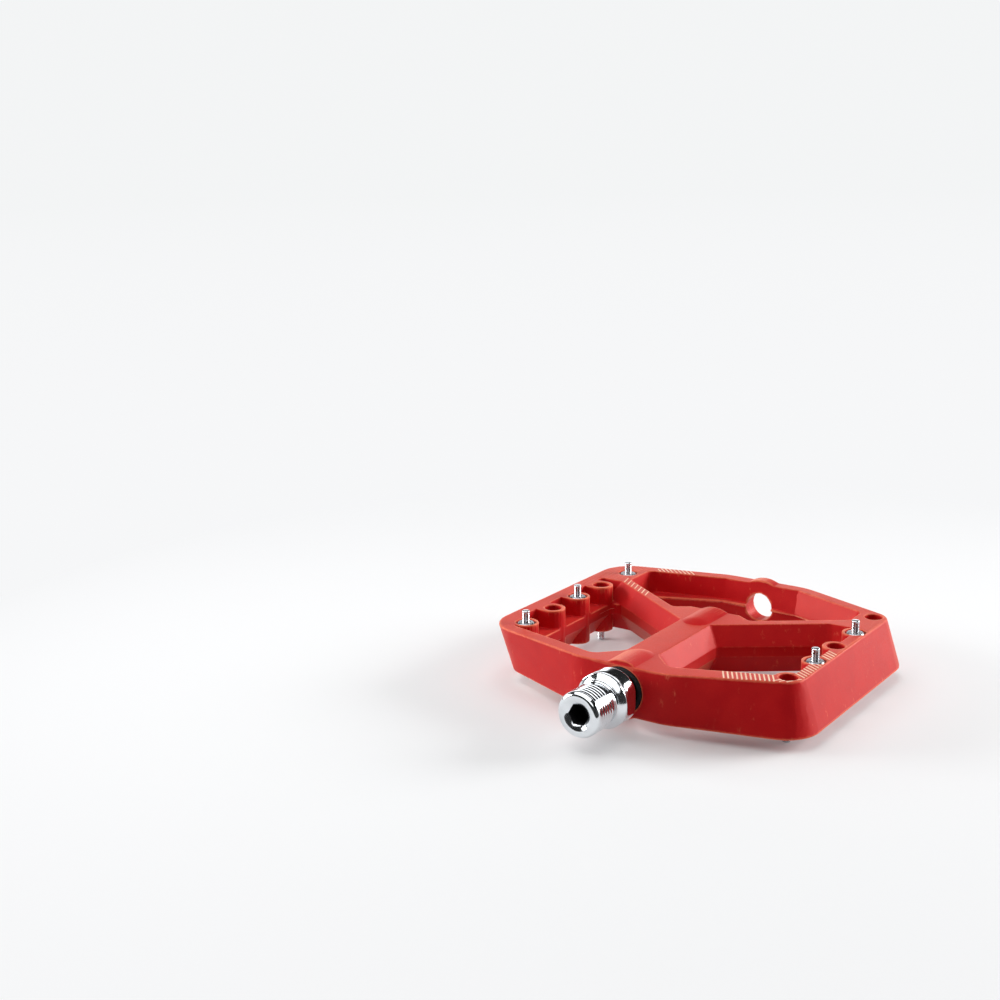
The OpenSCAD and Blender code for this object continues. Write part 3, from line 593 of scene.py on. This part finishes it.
for height, wanted in ((SIDE_LINE, in_side_window), (OUTER_LINE, in_outboard_window)):
    for line in section_loops(body_mesh, height):
        heading = np.roll(line, -1, 0) - np.roll(line, 1, 0)
        heading /= np.hypot(*heading.T)[:, None]
        inward = np.stack([-heading[:, 1], heading[:, 0]], 1)
        inward *= skin_side(line, inward, height)
        inside = np.array([wanted(p, d) for p, d in zip(line, inward)])
        if inside.all():
            add_flash(line, inward, height, True)
        elif height == OUTER_LINE:
            start = int(np.argmin(inside))
            run = []
            for i in list(np.roll(np.arange(len(line)), -start)) + [start]:
                if inside[i]:
                    run.append(i)
                elif run:
                    if len(run) > SHORTEST_FLASH:
                        add_flash(line[run], inward[run], height, False)
                    run = []
flash = make_piece("mould_flash", flash_vertices, flash_faces, 20)
# The flash's pale orange colours are a painted highlight along the ridge.
FLASH_LIT_RED, FLASH_HIGHLIGHT = (0.74, 0.11, 0.08), (0.90, 0.42, 0.33)
flash_highlight_nylon = moulded(
    "flash_highlight_nylon", FLASH_LIT_RED, FLASH_HIGHLIGHT, (0.35, 0.7), 0.42, (0.36, 0.52), NYLON_GRAINS, 0.15)
flash.data.materials.append(flash_highlight_nylon)
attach(flash, "platform")

# Hatching on both faces. Narrow pale stripes printed on the flat lands at two corners, in bands of parallel
# lines that change direction at the corner. The lower face repeats the upper one after half a turn.
FACE_Z, STRIPE_LIFT, STRIPE_SINK, STRIPE_STEP, SHORTEST_STRIPE = 8.15, 0.04, 0.1, 0.12, 4
ABOVE_ALL, LAND_SPREAD, LAND_LEVEL = 30, 0.3, 0.8
# first middle, last middle, number of stripes, direction in degrees, length, width
stripe_bands = {
    "outboard_bar": ((-27.3, 108.3), (-39.7, 105.7), 9, 137, 7.0, 0.48),
    "outboard_corner": ((-42.6, 104.2), (-55.0, 96.6), 10, 80, 24.0, 0.30),
    "wide_rail": ((-50.2, 91.8), (-53.7, 71.3), 17, 167, 15.0, 0.30),
    "strut": ((-28.6, 78.3), (-44.9, 90.1), 8, 105, 9.0, 0.42),
    "narrow_rail": ((48.7, 56.2), (48.5, 32.9), 15, 150, 6.5, 0.46),
    "inboard_corner": ((49.0, 28.0), (44.6, 25.5), 3, 57, 5.5, 0.46),
    "inboard_bar": ((29.7, 21.1), (42.8, 27.2), 12, 120, 7.5, 0.48),
}


def right_of(point, start, finish):
    """Whether a point lies to the right of a line."""
    run, rise = finish[0] - start[0], finish[1] - start[1]
    return run * (point[1] - start[1]) - rise * (point[0] - start[0]) < 0


def in_band(band, p):
    """Whether a stripe of this band may reach point p: the bands stop where the next one starts."""
    bar_end = right_of(p, (-41.8, 102.9), (-38.9, 106.6))
    past_pin = right_of(p, (-43.5, 90.3), (-55.8, 93.1))
    limits = {
        "outboard_bar": lambda: bar_end,
        "outboard_corner": lambda: not bar_end and past_pin,
        "wide_rail": lambda: not past_pin and p[0] < -43.0,
        "strut": lambda: p[0] > -43.3 and not past_pin,
        "narrow_rail": lambda: p[1] > 30.2,
        "inboard_corner": lambda: p[0] > 43.9 and p[1] < 30.4,
        "inboard_bar": lambda: p[0] < 44.6,
    }
    return limits[band]()


def land_height(p):
    """Height of the flat land under point p, or nothing where there is no land."""
    spot, normal, _, _ = skin.ray_cast(Vector((p[0], p[1], ABOVE_ALL)), Vector((0, 0, -1)))
    if spot is not None and abs(spot.z - FACE_Z) < LAND_SPREAD and normal.z > LAND_LEVEL:
        return spot.z
    return None


stripe_vertices, stripe_faces, faint_faces = [], [], set()


def add_stripe(left, right, faint):
    """A thin raised ribbon between two rows of points on the upper face, and its twin on the lower one."""
    rings, start = len(left), len(stripe_faces)
    for turn in (1, -1):
        first = len(stripe_vertices)
        for p, q in zip(left, right):
            for (x, y, z), lift in ((p, -STRIPE_SINK), (p, STRIPE_LIFT), (q, STRIPE_LIFT), (q, -STRIPE_SINK)):
                stripe_vertices.append((x * turn, y, (z + lift) * turn))
        for j in range(rings - 1):
            for i in range(4):
                k, low = (i + 1) % 4, first + j * 4
                stripe_faces.append((low + i, low + 4 + i, low + 4 + k, low + k))
        stripe_faces.append(tuple(first + n for n in range(4)))
        stripe_faces.append(tuple(first + (rings - 1) * 4 + n for n in range(4)))
    if faint:
        faint_faces.update(range(start, len(stripe_faces)))


for band, (first, last, number, direction, length, width) in stripe_bands.items():
    along = np.array([math.cos(math.radians(direction)), math.sin(math.radians(direction))])
    across = np.array([-along[1], along[0]]) * width / 2
    for share in np.linspace(0, 1, number):
        middle = np.array(first) * (1 - share) + np.array(last) * share
        left, right = [], []
        for step in list(np.arange(-length / 2, length / 2, STRIPE_STEP)) + [None]:
            heights = (None, None)
            if step is not None:
                p, q = middle + along * step - across, middle + along * step + across
                if in_band(band, middle + along * step):
                    heights = land_height(p), land_height(q)
            if None not in heights:
                left.append((*p, heights[0]))
                right.append((*q, heights[1]))
            elif left:
                if len(left) > SHORTEST_STRIPE:
                    add_stripe(left, right, band in ("outboard_corner", "wide_rail"))
                left, right = [], []
hatching = make_piece("face_hatching", stripe_vertices, stripe_faces, 20)
PRINT_PALE, PRINT_THIN = (0.86, 0.60, 0.43), (0.74, 0.40, 0.28)
pale_print = moulded("pale_print", PRINT_PALE, PRINT_THIN, (0.45, 0.8), 0.5, (0.42, 0.6), NYLON_GRAINS, 0.15)
# The stripes at the outboard corner and along the wide rail are printed fainter, close to the red of the
# nylon.
FAINT_PALE, FAINT_THIN = (0.66, 0.15, 0.10), (0.56, 0.05, 0.035)
faint_print = moulded("faint_print", FAINT_PALE, FAINT_THIN, (0.4, 0.65), 0.5, (0.42, 0.6), NYLON_GRAINS, 0.15)
hatching.data.materials.append(pale_print)
hatching.data.materials.append(faint_print)
for face in hatching.data.polygons:
    face.material_index = 1 if face.index in faint_faces else 0
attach(hatching, "platform")

# Seal in the mouth of the barrel. A ring of black rubber, moulded with a rounded lip, pressed into the barrel
# so that its lip runs close round the journal.
SEAL_IN, SEAL_OUT, SEAL_FACE, SEAL_BACK = 6.05, 7.35, 11.6, 14.4
seal_rows = [(SEAL_BACK, SEAL_IN), (SEAL_BACK, SEAL_OUT), (12.0, SEAL_OUT)]
seal_rows += quarter_round((11.95, SEAL_OUT), (SEAL_FACE, SEAL_OUT - 0.35), "along", 6)
seal_rows += [(SEAL_FACE, 6.75), (SEAL_FACE + 0.12, 6.62), (SEAL_FACE + 0.16, 6.5), (SEAL_FACE + 0.06, 6.36)]
seal_rows += quarter_round((SEAL_FACE + 0.02, 6.26), (SEAL_FACE + 0.3, SEAL_IN), "across", 5)
seal = make_piece("barrel_seal", *turned_mesh(seal_rows, closed=True), 40)
seal.data.materials.append(seal_rubber)
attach(seal, "platform")
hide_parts("inboard_seal")

# End cap. A silver screwed plug with a rounded rim and a hexagon socket, closing the barrel behind the
# lock nut, with a rubber ring in the groove of its plug.
RIM_R, RIM_BACK, RIM_FACE, PLUG_R, PLUG_END = 7.6, 73.5, 74.8, 7.0, 70.0
CAP_SOCKET_HALF, CAP_SOCKET_FLOOR = 3.0, 71.8
RING_GROOVE_R, RING_GROOVE_START, RING_GROOVE_END = 6.1, 72.2, 71.3
cap_socket = hexagon(CAP_SOCKET_HALF)
cap_rows = [
    (CAP_SOCKET_FLOOR - 0.5, AXIS_R), (CAP_SOCKET_FLOOR, cap_socket * 0.98),
    (CAP_SOCKET_FLOOR + 0.15, cap_socket), (RIM_FACE - 0.5, cap_socket), (RIM_FACE - 0.28, cap_socket + 0.2),
    (RIM_FACE - 0.2, 4.1), (RIM_FACE - 0.04, 4.4), (RIM_FACE, 4.6), (RIM_FACE, 6.75)]
cap_rows += quarter_round((RIM_FACE, 6.9), (RIM_FACE - 0.7, RIM_R), "across", 7)
cap_rows += [
    (RIM_BACK + 0.1, RIM_R), (RIM_BACK, RIM_R - 0.1), (RIM_BACK, PLUG_R), (RING_GROOVE_START, PLUG_R),
    (RING_GROOVE_START, RING_GROOVE_R), (RING_GROOVE_END, RING_GROOVE_R), (RING_GROOVE_END, PLUG_R),
    (PLUG_END + 0.3, PLUG_R), (PLUG_END, PLUG_R - 0.3), (PLUG_END, AXIS_R)]
cap = make_piece("barrel_end_cap", *turned_mesh(cap_rows))
cap_silver = bright_metal(
    "cap_silver", (0.80, 0.81, 0.83), (0.70, 0.71, 0.73), 0.17, 0.10, (60, 60, 4000), 0.12)
cap.data.materials.append(cap_silver)
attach(cap, "platform")
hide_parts("end_cap")
refinish("end_cap_ring", seal_rubber)

# Traction pins. Bright stainless screws put in from the far face: a socket head at the bottom of its hole,
# a plain shank through the rail, and a finely threaded end with a rounded tip that stands out of the face.
PIN_R, PIN_HEAD_R, PIN_HEAD_LOW, PIN_HEAD_TOP, PIN_TIP = 1.3, 2.6, -2.65, 0.35, 12.15
PIN_PITCH, PIN_THREAD, PIN_THREAD_START, PIN_THREAD_FADE, TIP_LENGTH = 0.5, 0.1, 8.0, 0.3, 0.5
PIN_SOCKET_HALF, PIN_COLUMNS = 1.25, 48
pin_angles = np.arange(PIN_COLUMNS) * 2 * math.pi / PIN_COLUMNS
pin_socket = hexagon(PIN_SOCKET_HALF, pin_angles)
pin_rows = [
    (PIN_HEAD_LOW + 2.3, AXIS_R), (PIN_HEAD_LOW + 2.1, pin_socket * 0.97), (PIN_HEAD_LOW + 1.95, pin_socket),
    (PIN_HEAD_LOW + 0.2, pin_socket), (PIN_HEAD_LOW, 1.65), (PIN_HEAD_LOW, 2.1)]
pin_rows += quarter_round((PIN_HEAD_LOW, 2.15), (PIN_HEAD_LOW + 0.45, PIN_HEAD_R), "across", 5)
pin_rows += [
    (PIN_HEAD_TOP - 0.1, PIN_HEAD_R), (PIN_HEAD_TOP, PIN_HEAD_R - 0.1), (PIN_HEAD_TOP, PIN_R + 0.1),
    (PIN_HEAD_TOP + 0.1, PIN_R), (PIN_THREAD_START - 0.1, PIN_R)]
for z in np.arange(PIN_THREAD_START, PIN_TIP - TIP_LENGTH, PIN_PITCH / 8):
    phase = (z / PIN_PITCH + pin_angles / (2 * math.pi)) % 1
    fade = min(1.0, (PIN_TIP - TIP_LENGTH - z) / PIN_THREAD_FADE)
    pin_rows.append((z, PIN_R - PIN_THREAD * (1 - np.abs(1 - 2 * phase)) * fade))
pin_rows.append((PIN_TIP - 0.48, PIN_R))
pin_rows += quarter_round((PIN_TIP - 0.42, PIN_R), (PIN_TIP - 0.02, PIN_R - 0.45), "along", 6)
pin_rows += [(PIN_TIP, 0.5), (PIN_TIP, AXIS_R)]
pin_steel = bright_metal(
    "pin_steel", (0.62, 0.63, 0.66), (0.52, 0.53, 0.56), 0.10, 0.07, (60, 60, 5000), 0.1)
for face, way in (("upper", 1), ("lower", -1)):
    for number in range(1, 6):
        pin_node = f"{face}_pin_{number}"
        low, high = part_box(pin_node)
        middle = ((low.x + high.x) / 2 / MM, (low.y + high.y) / 2 / MM)
        rows = [(along * way, radius) for along, radius in pin_rows]
        pin = make_piece(f"{face}_traction_pin_{number}", *turned_mesh(rows, "Z", middle, angles=pin_angles))
        pin.data.materials.append(pin_steel)
        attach(pin, "platform")
        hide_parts(pin_node)

# Pin nuts. Small zinc-plated hexagon nuts of steel, bevelled on top, screwed down on each pin into a round
# seat at its foot. Their grey is darker than bright zinc, as painted shade of the seats they sit in.
NUT_LOW, NUT_TOP, NUT_HALF = 6.25, 8.05, 2.75
# Dull grey: partly the zinc plating, partly painted shade inside the seats.
nut_zinc_and_shade = bright_metal(
    "nut_zinc_and_shade", (0.40, 0.41, 0.44), (0.30, 0.31, 0.33), 0.22, 0.10, (60, 60, 5000), 0.06)
nut_hex = hexagon(NUT_HALF, pin_angles)
nut_rows = [(NUT_LOW, PIN_R), (NUT_LOW, nut_hex - 0.1), (NUT_LOW + 0.1, nut_hex)]
nut_rows += [(z, np.minimum(nut_hex, 3.18 - (z - 7.45) * 1.1)) for z in np.linspace(7.2, NUT_TOP - 0.02, 6)]
nut_rows += [(NUT_TOP, 2.3), (NUT_TOP, PIN_R + 0.35), (NUT_TOP - 0.25, PIN_R)]
for face, way in (("upper", 1), ("lower", -1)):
    vertices, faces = [], []
    for number in range(1, 6):
        low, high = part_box(f"{face}_pin_{number}")
        middle = ((low.x + high.x) / 2 / MM, (low.y + high.y) / 2 / MM)
        rows = [(along * way, radius) for along, radius in nut_rows]
        nut_vertices, nut_faces = turned_mesh(rows, "Z", middle, True, pin_angles)
        faces += [tuple(i + len(vertices) for i in f) for f in nut_faces]
        vertices += nut_vertices.tolist()
    nuts = make_piece(f"{face}_nuts", vertices, faces)
    nuts.data.materials.append(nut_zinc_and_shade)
    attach(nuts, "platform")
    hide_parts(f"{face}_pin_nuts")

# Studio. A pale seamless table with soft boxes to the right, above and to the left. Two pale cards and a dark
# board, which only reflections show, give the bright steel its light and dark bands.
FLOOR_Z, FLOOR_HALF = -12.15, 6000
BACKDROP, NEAR_FLOOR, FLOOR_WHITE = (0.90, 0.91, 0.915), (0.925, 0.93, 0.94), (0.86, 0.865, 0.87)
BLACK, WHITE = (0.01, 0.01, 0.01), (1.0, 1.0, 1.0)
scene = bpy.context.scene
scene.view_settings.view_transform = "Standard"


def board(name, corners, colour, glow, seen_by_camera=False):
    """A flat panel of the studio, glowing or dark."""
    mesh = bpy.data.meshes.new(name)
    mesh.from_pydata([tuple(c * MM for c in corner) for corner in corners], [], [(0, 1, 2, 3)])
    panel = bpy.data.objects.new(name, mesh)
    scene.collection.objects.link(panel)
    _, shader, _, material = new_material(name, colour, 0.9)
    shader.inputs["Emission Color"].default_value = (*colour, 1)
    shader.inputs["Emission Strength"].default_value = glow
    mesh.materials.append(material)
    panel.visible_camera = seen_by_camera
    panel.visible_shadow = False
    return panel


floor_corners = [(x * FLOOR_HALF, y * FLOOR_HALF, FLOOR_Z) for x, y in ((-1, -1), (1, -1), (1, 1), (-1, 1))]
floor = board("table", floor_corners, FLOOR_WHITE, 0, True)
floor.visible_shadow = True
tree = floor.data.materials[0].node_tree
shader = tree.nodes["Principled BSDF"]
shader.inputs["Specular IOR Level"].default_value = 0.1
where = node(tree, "ShaderNodeNewGeometry")
apart = node(tree, "ShaderNodeVectorMath", {
    0: where.outputs["Position"], 1: (0.0, 0.06, 0.0)}, operation="DISTANCE")
far = shade_range(tree, apart.outputs["Value"], 0, 1, 0.02, 0.28)
paths = node(tree, "ShaderNodeLightPath")
seen = combine(tree, "MAXIMUM", paths.outputs["Is Camera Ray"], paths.outputs["Is Glossy Ray"])
fade = combine(tree, "MULTIPLY", far, seen)
distant = shade_range(tree, apart.outputs["Value"], 0, 1, 0.5, 3.5)
floor_colour = two_tone(tree, distant, NEAR_FLOOR, BACKDROP)
glow = node(tree, "ShaderNodeEmission", {"Color": floor_colour, "Strength": 1.0})
blend = node(tree, "ShaderNodeMixShader")
tree.links.new(fade, blend.inputs[0])
tree.links.new(shader.outputs[0], blend.inputs[1])
tree.links.new(glow.outputs[0], blend.inputs[2])
tree.links.new(blend.outputs[0], tree.nodes["Material Output"].inputs["Surface"])

world = bpy.data.worlds.new("studio")
world.use_nodes = True
scene.world = world
sky = world.node_tree
backdrop = sky.nodes["Background"]
backdrop.inputs["Color"].default_value = (*BACKDROP, 1)
paths = node(sky, "ShaderNodeLightPath")
toward = node(sky, "ShaderNodeTexCoord")
split = node(sky, "ShaderNodeSeparateXYZ", {"Vector": toward.outputs["Generated"]})
low_down = shade_range(sky, split.outputs["Z"], 1.0, 0.0, 0.28, 0.38)
behind = shade_range(sky, split.outputs["Y"], 0.0, 1.0, 0.0, 0.5)
dim = shade_range(sky, combine(sky, "MULTIPLY", low_down, behind), 0.02, 1.8)
level = node(sky, "ShaderNodeMix", {"Factor": paths.outputs["Is Camera Ray"], "A": dim, "B": 1.0})
sky.links.new(level.outputs["Result"], backdrop.inputs["Strength"])


def soft_box(name, place, target, size, power):
    """A lamp behind a rectangular diffuser, placed and aimed in millimetres."""
    lamp = bpy.data.lights.new(name, "AREA")
    lamp.shape = "RECTANGLE"
    lamp.size, lamp.size_y = size[0] * MM, size[1] * MM
    lamp.energy = power
    box = bpy.data.objects.new(name, lamp)
    scene.collection.objects.link(box)
    box.location = Vector(place) * MM
    box.rotation_euler = (Vector(target) - Vector(place)).to_track_quat("-Z", "Y").to_euler()
    return box


soft_box("right_box", (540, 590, 290), (0, 60, 0), (420, 320), 6.8)
soft_box("top_box", (-120, -20, 600), (-20, 20, 0), (900, 640), 2.9).visible_glossy = False
soft_box("left_box", (-690, -270, 200), (0, 60, 0), (400, 300), 5.6)
dark_board = board("dark_board", [
    (-18, -87.6, FLOOR_Z), (145.2, 28, FLOOR_Z), (145.2, 28, 26), (-18, -87.6, 26)], BLACK, 0)
front_card = board("front_card", [
    (-450, -330, 420), (560, -640, 260), (560, -420, 560), (-450, -130, 700)], WHITE, 0.5)
top_card = board("top_card", [
    (-570, -340, 610), (330, -340, 610), (330, 300, 610), (-570, 300, 610)], WHITE, 0.9)
for card in (dark_board, front_card, top_card):
    card.visible_diffuse = False

# Camera. It stands at the photograph's place, on the crank side and a little above the platform. Its turn,
# shift and focal length come from fitting the outline of the pedal.
FOCAL_PX, LENS_TRIM, PICTURE_PX = 1497.376, 1.004, 1000
TURN = Vector((1.75481294, 0.54532797, -0.44561162))
SHIFT = Vector((16.27248168, 64.86053316, 426.06414769))
PIVOT_Y = 23.128573212
look = Matrix.Rotation(TURN.length, 3, TURN.normalized())
eye = look.transposed() @ (-SHIFT) - Vector((0, PIVOT_Y, 0))
camera_data = bpy.data.cameras.new("camera")
camera_data.sensor_width = 36
camera_data.lens = FOCAL_PX * LENS_TRIM / PICTURE_PX * camera_data.sensor_width
camera_data.clip_start, camera_data.clip_end = 0.005, 50
camera_data.shift_x, camera_data.shift_y = 0.0006, -0.0008
camera = bpy.data.objects.new("camera", camera_data)
scene.collection.objects.link(camera)
pose = Matrix((look[0], -look[1], -look[2])).transposed().to_4x4()
pose.translation = eye * MM
camera.matrix_world = pose
scene.camera = camera
